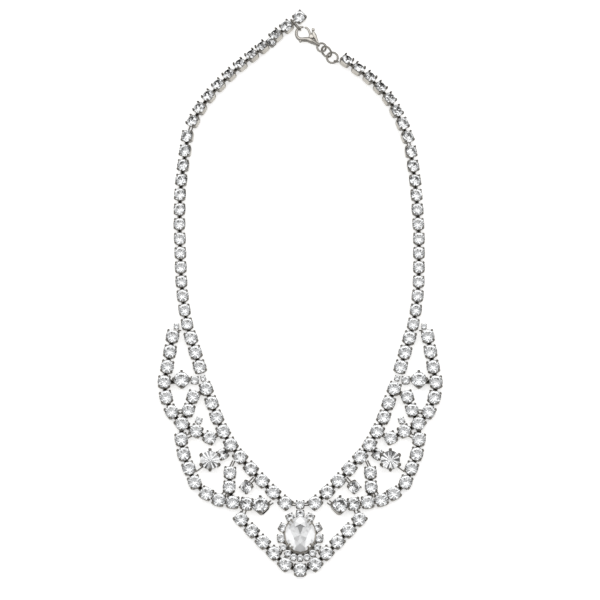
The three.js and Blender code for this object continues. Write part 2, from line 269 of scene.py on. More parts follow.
def footSide(patches, foot, up, length):
    # The direction of one side of the cup's square foot, whole or cut into by a link.
    for middle, down, area, corners in patches:
        away = middle - foot
        if down.dot(up) > -0.99 or abs(away.dot(up)) > 0.02 * mm or away.length > length:
            continue
        sides = [b - a for a in corners for b in corners if abs((b - a).length - length) < 0.01 * mm]
        if sides:
            return sides[0]
    return None


def cupsOf(node):
    # Every whole cup of a node: its kind, and its place with X along the thread.
    found = []
    patches = flatPatches(node)
    for kind, (width, height) in cupSizes.items():
        sides = 12 if kind == "round" else 8
        tableArea = sides / 2 * math.sin(2 * math.pi / sides) * (tableShare * width * mm) ** 2
        for middle, up, area, corners in patches:
            if abs(area / tableArea - 1) > 0.02 or len(corners) - sides not in (0, 1):
                continue
            foot = middle - up * height * mm
            if kind.startswith("halo"):
                found.append((kind, standing(foot, (middle - centre) * Vector((1, 1, 0)), up)))
            elif kind == "round":
                found.append((kind, standing(foot, Vector((1, 0, 0)), up)))
            else:
                side = footSide(patches, foot, up, 2 * footShare * width * mm)
                if side:
                    found.append((kind, standing(foot, side, up)))
    return found


def tipped(kind, x, y, heading, tip):
    # A cup at x and y in mm that leans towards the heading; raised() lifts it clear of the table later.
    turn = Matrix.Rotation(math.radians(heading), 4, "Z") @ Matrix.Rotation(math.radians(tip), 4, "Y")
    return kind, Matrix.Translation(Vector((x, y, 0)) * mm) @ turn


def threaded(cups):
    # The same cups, each turned so that a side along its own X faces its nearest neighbour.
    turned = []
    for kind, place in cups:
        others = [other.translation - place.translation for _, other in cups if other is not place]
        if others and not kind.startswith("halo"):
            along = min(others, key=lambda step: step.length)
            if abs(along.dot(place.col[0].to_3d())) < abs(along.dot(place.col[1].to_3d())):
                place = place @ Matrix.Rotation(math.pi / 2, 4, "Z")
        turned.append((kind, place))
    return turned


nodeCups = {node: threaded(cupsOf(node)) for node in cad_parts}
nodeCups["neck_chain_left_end"].append(tipped("small", -10.4, 95.2, 134, 8))
nodeCups["side_setting_right"] = [tipped("small", 19.0, -73.0, -45, 28)]
nodeCups["side_setting_left"] = [tipped("small", -19.0, -73.0, -135, 28)]
for node, hand in (("corner_setting_right", 1), ("corner_setting_left", -1)):
    lean = Matrix.Rotation(math.radians(12), 4, Vector((-1, hand, 0)))
    shift = Vector((hand * 0.8, 0.5, 0)) * mm
    nodeCups[node] = [(kind, Matrix.Translation(place.translation + shift)
                       @ lean @ place.to_quaternion().to_matrix().to_4x4())
                      for kind, place in nodeCups[node]]
nodeCups = {node: cups for node, cups in nodeCups.items() if cups}
print("cups read:", sum(len(cups) for cups in nodeCups.values()))


# Shapes that the settings repeat. Each is 1 in radius and stands on its own origin.

def superRing(count, radius, height, power):
    # A ring of points between a circle, power 2, and a square.
    ring = []
    for i in range(count):
        angle = 2 * math.pi * (i + 0.5) / count
        c, s = math.cos(angle), math.sin(angle)
        reach = radius / (abs(c) ** power + abs(s) ** power) ** (1 / power)
        ring.append((reach * c, reach * s, height))
    return ring


def loftFaces(ringCount, count):
    faces = []
    for row in range(ringCount - 1):
        for i in range(count):
            j = (i + 1) % count
            low, high = row * count, (row + 1) * count
            faces.append((low + i, low + j, high + j, high + i))
    faces.append(tuple(range(count)))
    faces.append(tuple((ringCount - 1) * count + i for i in range(count)))
    return faces


def makeCup(name, powers=(5, 2.6), slotted=True, wall=0.45, inside=0.58):
    # An open cup; the two walls that the thread passes through have a slot cut in them, painted black as
    # shadow. The wall and inside values are the painted shade on its outside below the rim and on its
    # inside.
    count = 16
    rings = [  # radius, height and squareness, from the foot up and down the inside
        (0.80, 0.0, powers[0]), (0.93, 0.42, powers[1]), (0.97, 0.60, powers[1]), (0.93, 0.63, powers[1]),
        (0.86, 0.58, 2.2), (0.45, 0.12, 2.2),
    ]
    points = [point for ring in rings for point in superRing(count, *ring)]
    mesh = newMesh(name, points, loftFaces(len(rings), count))
    work = bmesh.new()
    work.from_mesh(mesh)
    shade = work.faces.layers.float.new("shade")
    for face in work.faces:
        middle = face.calc_center_median()
        if Vector((middle.x, middle.y)).length < 0.63:
            face[shade] = inside
        elif face.normal.z < -0.2:
            face[shade] = wall
    slot = [face for face in work.faces if slotted and face.calc_center_median().z < 0.35
            and abs(face.normal.z) < 0.5 and abs(face.calc_center_median().y) < 0.5
            and abs(face.calc_center_median().x) > 0.6]
    inner = bmesh.ops.inset_region(work, faces=slot, thickness=0.05, depth=-0.10, use_even_offset=True)
    # painted shadow: the slots and their sunken sides are black
    for face in slot + inner["faces"]:
        face[shade] = 1.0
    for face in work.faces:
        face.smooth = True
    work.to_mesh(mesh)
    work.free()
    mesh.set_sharp_from_angle(angle=math.radians(38))
    return newObject(name, mesh)


def makeProng(name, dark=0.54):
    # A finger that stands up the wall of the cup and bends over the edge of the stone.
    sides = 6
    path = [  # distance from the axis, height, half width and half thickness
        (0.94, 0.10, 0.15, 0.09), (1.06, 0.50, 0.18, 0.11), (1.11, 0.70, 0.19, 0.11),
        (1.03, 0.84, 0.18, 0.11), (0.88, 0.88, 0.11, 0.08),
    ]
    points = []
    for k, (away, height, wide, thick) in enumerate(path):
        before, after = path[max(k - 1, 0)], path[min(k + 1, len(path) - 1)]
        along = Vector((after[0] - before[0], 0, after[1] - before[1])).normalized()
        out = Vector((along.z, 0, -along.x))
        for i in range(sides):
            angle = 2 * math.pi * i / sides
            point = Vector((away, 0, height)) + out * thick * math.cos(angle)
            points.append((point.x - 1, wide * math.sin(angle), point.z))
    mesh = newMesh(name, points, loftFaces(len(path), sides), sharpAngle=60)
    # painted shade: the whole prong is darkened
    shade = mesh.attributes.new("shade", "FLOAT", "FACE")
    shade.data.foreach_set("value", [dark] * len(mesh.polygons))
    return newObject(name, mesh)


def makeStone(name, table=0.56, crown=0.36, depth=0.86, star=0.80, lower=0.30):
    # A round brilliant: its girdle is at height 0, crown facets above, foiled pavilion below.
    half = math.cos(math.pi / 8)
    points = []
    for i in range(8):  # table corners, then the points of the stars
        angle = math.pi / 4 * i
        points.append((table * math.cos(angle), table * math.sin(angle), crown))
    for i in range(8):
        angle = math.pi / 4 * (i + 0.5)
        rise = crown * (1 - star * half) / (1 - table)
        points.append((star * math.cos(angle), star * math.sin(angle), rise))
    for i in range(16):
        angle = math.pi / 8 * i
        points.append((math.cos(angle), math.sin(angle), 0))
    for i in range(8):
        angle = math.pi / 4 * (i + 0.5)
        points.append((lower * math.cos(angle), lower * math.sin(angle), depth * (lower * half - 1)))
    points.append((0, 0, -depth))
    tip = len(points) - 1
    crownFaces = [tuple(range(8))]
    underFaces = []
    for i in range(8):
        j = (i + 1) % 8
        back = (i + 7) % 8
        crownFaces.append((i, j, 8 + i))
        crownFaces.append((i, 8 + back, 16 + 2 * i, 8 + i))
        crownFaces.append((8 + i, 16 + 2 * i, 16 + 2 * i + 1))
        crownFaces.append((8 + i, 16 + 2 * i + 1, 16 + 2 * j))
        underFaces.append((tip, 32 + back, 16 + 2 * i, 32 + i))
        underFaces.append((32 + i, 16 + 2 * i, 16 + 2 * i + 1))
        underFaces.append((32 + i, 16 + 2 * i + 1, 16 + 2 * j))
    mesh = newMesh(name, points, crownFaces + underFaces)
    foiled = mesh.attributes.new("foiled", "BOOLEAN", "FACE")
    foiled.data.foreach_set("value", [i >= len(crownFaces) for i in range(len(mesh.polygons))])
    return newObject(name, mesh)


def makePleatedStone(name, pleats=14, crown=0.05, depth=0.135, edge=0.02, inner=0.009):
    # A round stone cut to a point, with pleats that run from the point to the edge.
    points = [(0, 0, crown)]
    for i in range(2 * pleats):
        angle = math.pi * i / pleats
        points.append((math.cos(angle), math.sin(angle), edge if i % 2 else -edge))
    for i in range(2 * pleats):
        angle = math.pi * i / pleats
        points.append((0.5 * math.cos(angle), 0.5 * math.sin(angle),
                       -0.5 * depth + (inner if i % 2 else -inner)))
    points.append((0, 0, -depth))
    tip = len(points) - 1
    ring = 2 * pleats
    crownFaces = [(0, 1 + i, 1 + (i + 1) % ring) for i in range(ring)]
    underFaces = []
    for i in range(ring):
        j = (i + 1) % ring
        underFaces += [(1 + i, 1 + j, 1 + ring + j, 1 + ring + i), (1 + ring + i, 1 + ring + j, tip)]
    mesh = newMesh(name, points, crownFaces + underFaces)
    foiled = mesh.attributes.new("foiled", "BOOLEAN", "FACE")
    foiled.data.foreach_set("value", [i >= len(crownFaces) for i in range(len(mesh.polygons))])
    shade = mesh.attributes.new("shade", "FLOAT", "FACE")  # painted shade on the foil: darker towards the edge, every other pleat more
    tones = [0.0] * ring + [(0.28 if i % 4 < 2 else 0.5) if i % 2 == 0 else 0.0 for i in range(2 * ring)]
    shade.data.foreach_set("value", tones)
    return newObject(name, mesh)


def settingsTree():
    # A cup and its prongs at every point, turned and sized by the point's own attributes.
    tree, graph, given = newTree("settings", {
        "Cup": "Object", "Prong": "Object", "Prong Count": "Int", "First Prong": "Float",
        "Prong Circle": "Float", "Metal": "Material"})
    circle = graph.add("GeometryNodeMeshCircle", {}, {
        "Vertices": given["Prong Count"], "Radius": given["Prong Circle"]})["Mesh"]
    away = graph.add("GeometryNodeInputPosition")["Position"]
    facing = graph.add("FunctionNodeAlignRotationToVector", {"axis": "X"}, {"Vector": away})["Rotation"]
    prong = graph.add("GeometryNodeObjectInfo", {}, {"Object": given["Prong"]})["Geometry"]
    prongs = graph.add("GeometryNodeInstanceOnPoints", {}, {
        "Points": circle, "Instance": prong, "Rotation": facing})["Instances"]
    turn = graph.add("ShaderNodeCombineXYZ", {}, {"Z": given["First Prong"]})["Vector"]
    prongs = graph.add("GeometryNodeTransform", {}, {"Geometry": prongs, "Rotation": turn})["Geometry"]
    cup = graph.add("GeometryNodeObjectInfo", {}, {"Object": given["Cup"]})["Geometry"]
    whole = graph.add("GeometryNodeJoinGeometry", {}, {"Geometry": [cup, prongs]})["Geometry"]
    whole = graph.add("GeometryNodeGeometryToInstance", {}, {"Geometry": whole})["Instances"]
    placeOnPoints(graph, given["Geometry"], whole, given["Metal"], None)
    return tree


def stonesTree():
    # A cut stone at every point, spun and tilted a little by chance so that no two flash alike.
    tree, graph, given = newTree("stones", {
        "Stone": "Object", "Spin": "Float", "Tilt": "Float", "Seed": "Int",
        "Crystal": "Material", "Foil": "Material"})
    stone = graph.add("GeometryNodeObjectInfo", {}, {"Object": given["Stone"]})["Geometry"]
    least = graph.add("ShaderNodeCombineXYZ", {}, {
        "X": given["Tilt"] * -1.0, "Y": given["Tilt"] * -1.0})["Vector"]
    most = graph.add("ShaderNodeCombineXYZ", {}, {
        "X": given["Tilt"], "Y": given["Tilt"], "Z": given["Spin"]})["Vector"]
    chance = graph.add("FunctionNodeRandomValue", {"data_type": "FLOAT_VECTOR"}, {
        "Min": least, "Max": most, "Seed": given["Seed"]})["Value"]
    placeOnPoints(graph, given["Geometry"], stone, given["Crystal"], given["Foil"], chance)
    return tree


def placeOnPoints(graph, points, shape, material, foilMaterial, chance=None):
    turn = graph.add("GeometryNodeInputNamedAttribute", {"data_type": "FLOAT_VECTOR"}, {"Name": "turn"})[0]
    turn = graph.add("FunctionNodeEulerToRotation", {}, {"Euler": turn})["Rotation"]
    size = graph.add("GeometryNodeInputNamedAttribute", {"data_type": "FLOAT_VECTOR"}, {"Name": "size"})[0]
    made = graph.add("GeometryNodeInstanceOnPoints", {}, {
        "Points": points, "Instance": shape, "Rotation": turn, "Scale": size})["Instances"]
    if chance:
        spin = graph.add("FunctionNodeEulerToRotation", {}, {"Euler": chance})["Rotation"]
        made = graph.add("GeometryNodeRotateInstances", {}, {
            "Instances": made, "Rotation": spin})["Instances"]
    made = graph.add("GeometryNodeRealizeInstances", {}, {"Geometry": made})["Geometry"]
    made = graph.add("GeometryNodeSetMaterial", {}, {"Geometry": made, "Material": material})["Geometry"]
    if foilMaterial:
        foiled = graph.add("GeometryNodeInputNamedAttribute", {"data_type": "BOOLEAN"}, {
            "Name": "foiled"})[0]
        made = graph.add("GeometryNodeSetMaterial", {}, {
            "Geometry": made, "Selection": foiled, "Material": foilMaterial})["Geometry"]
    graph.add("NodeGroupOutput", {}, {"Geometry": made})


def pointHolder(places):
    # A mesh of bare points that carry a turn and a size each.
    mesh = bpy.data.meshes.new("points")
    mesh.from_pydata([place.to_translation() for place, size in places], [], [])
    turns = mesh.attributes.new("turn", "FLOAT_VECTOR", "POINT")
    sizes = mesh.attributes.new("size", "FLOAT_VECTOR", "POINT")
    for i, (place, size) in enumerate(places):
        turns.data[i].vector = place.to_euler()
        sizes.data[i].vector = size
    return newObject("points", mesh)


cupShape = makeCup("cupShape")
neckCupShape = makeCup("neckCupShape", powers=(9, 3.6), wall=0.05)
roundCupShape = makeCup("roundCupShape", powers=(2, 2), slotted=False)
prongShape = makeProng("prongShape")
stoneShape = makeStone("stoneShape")
pleatedShape = makePleatedStone("pleatedShape")
settingTree = settingsTree()
stoneTree = stonesTree()

settingGroups = {  # the bib's group takes every node that no other group names
    "neck": {"nodes": "neck_chain", "seed": 3, "prongs": 4, "first": 45,
             "cup": neckCupShape, "stone": stoneShape},
    "bib": {"nodes": "", "seed": 11, "prongs": 4, "first": 45, "cup": cupShape, "stone": stoneShape},
    "halo": {"nodes": "centre_setting", "seed": 8, "prongs": 4, "first": 45,
             "cup": cupShape, "stone": stoneShape},
    "round": {"nodes": "round_setting", "seed": 5, "prongs": 6, "first": 30,
              "cup": roundCupShape, "stone": pleatedShape},
}
swell = {  # sizes of some cups against the frame's, by the start of the node's name
    "crossbar_bead": 1.5, "standing_bead": 1.2, "centre_setting": 1.12, "round_setting": 1.1,
    "side_setting": 1.3, "square_setting": 1.25,
}
stoneSeat = {"girdle": 0.66, "radius": 0.96, "spin": 0.8, "tilt": 0.06, "prongCircle": 1.0}


def groupOf(node):
    for name, group in settingGroups.items():
        if group["nodes"] and node.startswith(group["nodes"]):
            return name
    return "bib"


def raised(place, size, group):
    # The place, lifted as far as keeps a leaning cup and its prongs on the table.
    spots = [vertex.co.copy() for vertex in group["cup"].data.vertices]
    for k in range(group["prongs"]):
        turn = Matrix.Rotation(math.radians(group["first"]) + 2 * math.pi * k / group["prongs"], 4, "Z")
        out = Vector((stoneSeat["prongCircle"], 0, 0))
        spots += [turn @ (vertex.co + out) for vertex in prongShape.data.vertices]
    low = min((place @ (spot * Vector(size))).z for spot in spots)
    return Matrix.Translation((0, 0, max(-low, 0))) @ place


for name, group in settingGroups.items():
    nodes = [node for node in nodeCups if groupOf(node) == name]
    cupPlaces, stonePlaces = [], []
    for node in nodes:
        for kind, place in nodeCups[node]:
            wider = next((size for start, size in swell.items() if node.startswith(start)), 1)
            half, height = cupSizes[kind][0] / 2 * mm * wider, cupSizes[kind][1] * mm
            place = raised(place, (half, half, height), group)
            cupPlaces.append((place, (half, half, height)))
            lift = Matrix.Translation((0, 0, stoneSeat["girdle"] * height))
            stonePlaces.append((place @ lift, (half * stoneSeat["radius"],) * 3))
    settings = settled(name + "Settings", pointHolder(cupPlaces), settingTree, {
        "Cup": group["cup"], "Prong": prongShape, "Prong Count": group["prongs"],
        "First Prong": math.radians(group["first"]), "Prong Circle": stoneSeat["prongCircle"],
        "Metal": silver})
    stones = settled(name + "Stones", pointHolder(stonePlaces), stoneTree, {
        "Stone": group["stone"], "Spin": stoneSeat["spin"], "Tilt": stoneSeat["tilt"],
        "Seed": group["seed"], "Crystal": crystal, "Foil": foil})
    finishPiece(settings, "necklace", nodes)
    finishPiece(stones, "necklace", [])
    print(name, "settings made:", len(cupPlaces), len(settings.data.polygons), len(stones.data.polygons))


# Links and wires: bars of round wire that follow a path.

def wireTree():
    tree, graph, given = newTree("wires", {
        "Wire Radius": "Float", "Sides": "Int", "Shade": "Float", "Metal": "Material"})
    path = graph.add("GeometryNodeMeshToCurve", {}, {"Mesh": given["Geometry"]})["Curve"]
    section = graph.add("GeometryNodeCurvePrimitiveCircle", {}, {
        "Resolution": given["Sides"], "Radius": given["Wire Radius"]})["Curve"]
    wire = graph.add("GeometryNodeCurveToMesh", {}, {
        "Curve": path, "Profile Curve": section, "Fill Caps": True})["Mesh"]
    smooth = graph.add("GeometryNodeSetShadeSmooth", {}, {"Geometry": wire})["Geometry"]
    # painted shade: every wire is darkened by the value given to it
    dark = graph.add("GeometryNodeStoreNamedAttribute", {"data_type": "FLOAT", "domain": "FACE"}, {
        "Geometry": smooth, "Name": "shade", "Value": given["Shade"]})["Geometry"]
    whole = graph.add("GeometryNodeRealizeInstances", {}, {"Geometry": dark})["Geometry"]
    whole = graph.add("GeometryNodeSetMaterial", {}, {
        "Geometry": whole, "Material": given["Metal"]})["Geometry"]
    graph.add("NodeGroupOutput", {}, {"Geometry": whole})
    return tree


def pathHolder(paths, closed=False):
    # One mesh of edges for several paths.
    points, edges = [], []
    for path in paths:
        first = len(points)
        points += [tuple(point) for point in path]
        edges += [(first + i, first + i + 1) for i in range(len(path) - 1)]
        if closed:
            edges.append((len(points) - 1, first))
    mesh = bpy.data.meshes.new("paths")
    mesh.from_pydata(points, edges, [])
    return newObject("paths", mesh)


linkTree = wireTree()
linkSizes = {  # mm, and the painted shade on the wire
    "level": 1.35, "gap": 1.3, "neckGap": 2.0, "spread": 0.62, "wire": 0.27, "tuck": 0.75,
    "core": 0.5, "coreGap": 1.0, "shade": 0.6,
}
solderStrips = [  # from, to in mm, for the right half and mirrored: the strips between the bib's rows
    (23.9, -63.6, 25.0, -66.2), (12.0, -81.0, 9.8, -79.3), (12.9, -80.2, 10.6, -78.5),
    (14.9, -79.2, 14.6, -77.0), (16.1, -80.9, 17.6, -80.5), (26.2, -75.8, 26.5, -77.0),
    (37.3, -49.3, 37.8, -50.5), (35.4, -65.6, 38.0, -67.6), (44.6, -14.0, 43.4, -14.2),
    (18.7, -72.9, 16.3, -70.3), (19.4, -72.2, 17.0, -69.6), (24.6, -63.3, 25.8, -66.0),
]


def makeLinks():
    cups = [(kind, place) for node, group in nodeCups.items() for kind, place in group
            if node != "centre_setting" and "bead" not in node]
    rails, shadowCores = [], []
    for i, (kind, place) in enumerate(cups):
        for otherKind, otherPlace in cups[i + 1:]:
            start = place @ Vector((0, 0, linkSizes["level"] * mm))
            end = otherPlace @ Vector((0, 0, linkSizes["level"] * mm))
            reach = (cupSizes[kind][0] / 2 * mm, cupSizes[otherKind][0] / 2 * mm)
            gap = linkSizes["neckGap" if kind == otherKind == "neck" else "gap"] * mm
            if (end - start).length > sum(reach) + gap:
                continue
            along = (end - start).normalized()
            up = (place.col[2].to_3d() + otherPlace.col[2].to_3d()).normalized()
            side = up.cross(along).normalized() * linkSizes["spread"] * mm * min(reach) / (2.5 * mm)
            begin = start + along * max(reach[0] - linkSizes["tuck"] * mm, 0)
            finish = end - along * max(reach[1] - linkSizes["tuck"] * mm, 0)
            rails += [[begin + side, finish + side], [begin - side, finish - side]]
            # painted shadow: a thick black bar between cups that stand close
            if (end - start).length - sum(reach) < linkSizes["coreGap"] * mm:
                shadowCores.append([begin, finish])
    for x, y, toX, toY in solderStrips:
        for hand in (1, -1):
            level = linkSizes["level"]
            rails.append([Vector((hand * x, y, level)) * mm, Vector((hand * toX, toY, level)) * mm])
    kinds = (("linkRails", rails, linkSizes["wire"], linkSizes["shade"]),
             ("linkCores", shadowCores, linkSizes["core"], 1.0))
    return [settled(name, pathHolder(paths), linkTree, {
        "Wire Radius": wire * mm, "Sides": 8, "Shade": shade, "Metal": silver})
        for name, paths, wire, shade in kinds]


def ringPath(x, y, z, radius, turn, tilt, reach=0.0, count=40):
    # The middle line of a ring, or of a long link where reach draws its halves apart.
    spin = Matrix.Rotation(math.radians(turn), 4, "Z") @ Matrix.Rotation(math.radians(tilt), 4, "X")
    path = []
    for i in range(count):
        angle = 2 * math.pi * (i + 0.5) / count
        c, s = math.cos(angle), math.sin(angle)
        point = spin @ Vector((radius * c + math.copysign(reach, c), radius * s, 0))
        path.append((point + Vector((x, y, z))) * mm)
    return path


for links in makeLinks():
    finishPiece(links, "necklace", [])
jumpRings = {  # name: centre, radius, turn, tilt and reach, then the wire's radius, in mm and degrees
    "hook_link": (-1.65, 101.86, 1.76, 1.5, -48, 90, 1.2, 0.27),
    "clasp_ring": (7.85, 93.37, 1.6, 1.6, -45, 0, 0.0, 0.4),
    "middle_ring": (9.65, 91.57, 2.13, 2.1, -45, 55, 0.0, 0.4),
    "chain_ring": (11.77, 89.45, 1.6, 2.0, -45, 0, 0.0, 0.4),
    "chainEye": (13.19, 88.03, 1.6, 0.8, -12, 90, 0.0, 0.24),
}
# painted shade: the rings are darkened
for name, (x, y, z, radius, turn, tilt, reach, wire) in jumpRings.items():
    ring = settled("ring." + name, pathHolder([ringPath(x, y, z, radius, turn, tilt, reach)], closed=True),
                   linkTree, {"Wire Radius": wire * mm, "Sides": 12, "Shade": 0.42, "Metal": silver})
    finishPiece(ring, "necklace", [name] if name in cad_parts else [])
print("links and rings made")


# The centre: an oval stone in a rimmed seat with paired prongs, on an oval plate.

def makeCentreStone(name):
    # An oval cut, made round and stretched later: flat kites in the middle of its underside.
    cutting = {"table": 0.54, "crown": 0.14, "star": 0.80, "kite": 0.50, "kiteSlope": 10, "edgeSlope": 30,
               "kiteShade": 0.72, "facetShade": 0.11}
    half = math.cos(math.pi / 8)
    shallow, steep = (math.tan(math.radians(cutting[key])) for key in ("kiteSlope", "edgeSlope"))
    table, crown, star, kite = (cutting[key] for key in ("table", "crown", "star", "kite"))
    depth = steep * (1 - kite) + shallow * kite
    tipReach = kite * half + 0.14
    points = []
    for i in range(8):
        angle = math.pi / 4 * i
        points.append((table * math.cos(angle), table * math.sin(angle), crown))
    rise = crown * (1 - star * half) / (1 - table)
    for i in range(8):
        angle = math.pi / 4 * (i + 0.5)
        points.append((star * math.cos(angle), star * math.sin(angle), rise))
    for i in range(16):
        angle = math.pi / 8 * i
        points.append((math.cos(angle), math.sin(angle), 0))
    for i in range(8):
        angle = math.pi / 4 * (i + 0.5)
        points.append((kite * math.cos(angle), kite * math.sin(angle), -depth + shallow * kite * half))
    for i in range(8):
        angle = math.pi / 4 * i
        points.append((tipReach * math.cos(angle), tipReach * math.sin(angle), -depth + shallow * tipReach))
    points.append((0, 0, -depth))
    tip = len(points) - 1
    crownFaces, underFaces = [tuple(range(8))], []
    for i in range(8):
        j, back = (i + 1) % 8, (i + 7) % 8
        crownFaces += [(i, j, 8 + i), (i, 8 + back, 16 + 2 * i, 8 + i),
                       (8 + i, 16 + 2 * i, 16 + 2 * i + 1), (8 + i, 16 + 2 * i + 1, 16 + 2 * j)]
        underFaces += [(tip, 32 + back, 40 + i, 32 + i), (40 + i, 32 + i, 16 + 2 * i + 1, 16 + 2 * i),
                       (32 + i, 40 + j, 16 + 2 * j, 16 + 2 * i + 1)]
    mesh = newMesh(name, points, crownFaces + underFaces)
    foiled = mesh.attributes.new("foiled", "BOOLEAN", "FACE")
    foiled.data.foreach_set("value", [i >= len(crownFaces) for i in range(len(mesh.polygons))])
    shade = mesh.attributes.new("shade", "FLOAT", "FACE")  # painted reflection: the facets darkened by a fixed pattern, alike on both sides
    for face in mesh.polygons:
        chance = math.sin(9 * abs(face.center.x) + 23 * face.center.y)
        shade.data[face.index].value = cutting["facetShade"] * (1 + chance)
    # painted reflection: the underside kite facet towards +Y is painted dark grey
    dark = min((face for face in mesh.polygons if face.normal.z < 0),
               key=lambda face: (face.center - Vector((0, kite / 2, -depth))).length)
    shade.data[dark.index].value = cutting["kiteShade"]
    return newObject(name, mesh)


def makeCentre():
    sizes = {
        "halfWidth": 5.4, "halfLength": 6.65, "girdle": 4.75,
        "plateWidth": 6.5, "plateLength": 7.6, "plateHeight": 1.2, "prongAngles": (39, 53), "prong": 0.30,
    }
    count = 48
    rings = [  # half width, half length and height: the plate, then the seat's wall and its inside
        (sizes["plateWidth"] - 0.3, sizes["plateLength"] - 0.3, 0.0),
        (sizes["plateWidth"], sizes["plateLength"], 0.25),
        (sizes["plateWidth"], sizes["plateLength"], sizes["plateHeight"] - 0.2),
        (sizes["plateWidth"] - 0.2, sizes["plateLength"] - 0.2, sizes["plateHeight"]),
        (6.0, 7.1, sizes["plateHeight"]), (5.9, 7.0, 3.35), (5.75, 6.85, 3.5), (5.35, 6.6, 3.5),
        (5.2, 6.45, 4.45), (5.05, 6.3, 4.55), (4.8, 6.0, 4.2), (3.2, 4.0, 2.2), (1.0, 1.2, 0.3),
    ]
    points = []
    for wide, long, height in rings:
        for i in range(count):
            angle = 2 * math.pi * i / count
            points.append((Vector((wide * math.cos(angle), long * math.sin(angle), height))) * mm + centre)
    work = newMesh("centreSetting", points, loftFaces(len(rings), count), sharpAngle=35)
    shade = work.attributes.new("shade", "FLOAT", "FACE")
    # painted shade: the seat is darkened, more below 4 mm than at its rim
    for face in work.polygons:
        shade.data[face.index].value = 0.30 if face.center.z < 4.0 * mm else 0.1
    seat = newObject("centreSeat", work)
    seat.data.materials.append(silver)
    prongs = []
    for quarter in range(4):
        for angle in sizes["prongAngles"]:
            turn = math.radians(180 * (quarter // 2) + (180 - angle if quarter % 2 else angle))
            out = Vector((sizes["halfWidth"] * math.cos(turn), sizes["halfLength"] * math.sin(turn), 0))
            path = [(0.96, 1.0), (1.03, 3.4), (1.06, 4.6), (1.02, 5.15), (0.93, 5.42), (0.87, 5.45)]
            prongs.append([centre + (out * away + Vector((0, 0, height))) * mm for away, height in path])
    # painted shade: the prongs are darkened a little
    claws = settled("centreProngs", pathHolder(prongs), linkTree, {
        "Wire Radius": sizes["prong"] * mm, "Sides": 10, "Shade": 0.12, "Metal": silver})
    cut = makeCentreStone("centreStone")
    cut.data.materials.append(crystal)
    cut.data.materials.append(softFoil)
    foiled = cut.data.attributes["foiled"]
    for face in cut.data.polygons:
        face.material_index = 1 if foiled.data[face.index].value else 0
    shift = Matrix.Translation(centre + Vector((0, 0, sizes["girdle"] * mm)))
    cut.data.transform(shift @ Matrix.Diagonal((
        sizes["halfWidth"] * mm, sizes["halfLength"] * mm, sizes["halfWidth"] * mm, 1)))
    finishPiece(seat, "necklace", ["centre_setting"])
    finishPiece(claws, "necklace", [])
    finishPiece(cut, "necklace", ["centre_stone"])


makeCentre()
print("centre made")


# The clasp: a hook that tapers into a body and a tail, and a swinging lever with a thumb knob.

def smoothLine(spots, steps=8):
    # Points between the spots on a Catmull-Rom line; each spot is a row of numbers.
    rows = []
    for i in range(len(spots) - 1):
        p0, p1, p2, p3 = (spots[max(i - 1, 0)], spots[i], spots[i + 1], spots[min(i + 2, len(spots) - 1)])
        for k in range(steps):
            t = k / steps
            rows.append([0.5 * (2 * b + (c - a) * t + (2 * a - 5 * b + 4 * c - d) * t * t
                                + (3 * b - a - 3 * c + d) * t ** 3) for a, b, c, d in zip(p0, p1, p2, p3)])
    rows.append(list(spots[-1]))
    return rows


def tubePoints(spots, level, sides=14, steps=8):
    # A closed bar along a flat line: each spot is x, y, half width and half height in mm.
    rows = smoothLine(spots, steps)
    first, last = rows[0], rows[-1]
    rounded = [[first[0], first[1], first[2] * 0.5, first[3] * 0.5]] + rows + [
        [last[0], last[1], last[2] * 0.5, last[3] * 0.5]]
    nudge = Vector((rows[1][0] - first[0], rows[1][1] - first[1])).normalized() * first[2] * 0.45
    rounded[0][0] -= nudge.x
    rounded[0][1] -= nudge.y
    nudge = Vector((last[0] - rows[-2][0], last[1] - rows[-2][1])).normalized() * last[2] * 0.45
    rounded[-1][0] += nudge.x
    rounded[-1][1] += nudge.y
    points = []
    for i, (x, y, wide, high) in enumerate(rounded):
        before, after = rounded[max(i - 1, 0)], rounded[min(i + 1, len(rounded) - 1)]
        along = Vector((after[0] - before[0], after[1] - before[1])).normalized()
        for j in range(sides):
            angle = 2 * math.pi * j / sides
            across = wide * math.cos(angle)
            points.append(Vector((x - along.y * across, y + along.x * across,
                                  level + high * math.sin(angle))) * mm)
    return points, loftFaces(len(rounded), sides)


def dome(x, y, low, high, radius, bulge=0.18, sides=20):
    # A round boss with softened edges.
    rings = [(radius * 0.86, low), (radius, low + bulge), (radius, high - bulge),
             (radius * 0.86, high - 0.05), (radius * 0.5, high)]
    points = []
    for reach, height in rings:
        for j in range(sides):
            angle = 2 * math.pi * j / sides
            points.append(Vector((x + reach * math.cos(angle), y + reach * math.sin(angle), height)) * mm)
    return points, loftFaces(len(rings), sides)


def joined(name, shapes, flank=0.8):
    # Several closed shapes as one mesh, with painted shade on their upright sides.
    work = bmesh.new()
    for points, faces in shapes:
        corners = [work.verts.new(point) for point in points]
        for face in faces:
            work.faces.new([corners[i] for i in face])
    bmesh.ops.recalc_face_normals(work, faces=work.faces)
    work.normal_update()
    layer = work.verts.layers.float.new("shade")
    for face in work.faces:
        face.smooth = True
    for corner in work.verts:
        corner[layer] = flank * (1 - abs(corner.normal.z)) ** 0.8  # painted shade, which falls off towards the top
    mesh = bpy.data.meshes.new(name)
    work.to_mesh(mesh)
    work.free()
    mesh.set_sharp_from_angle(angle=math.radians(50))
    mesh.materials.append(silver)
    return newObject(name, mesh)


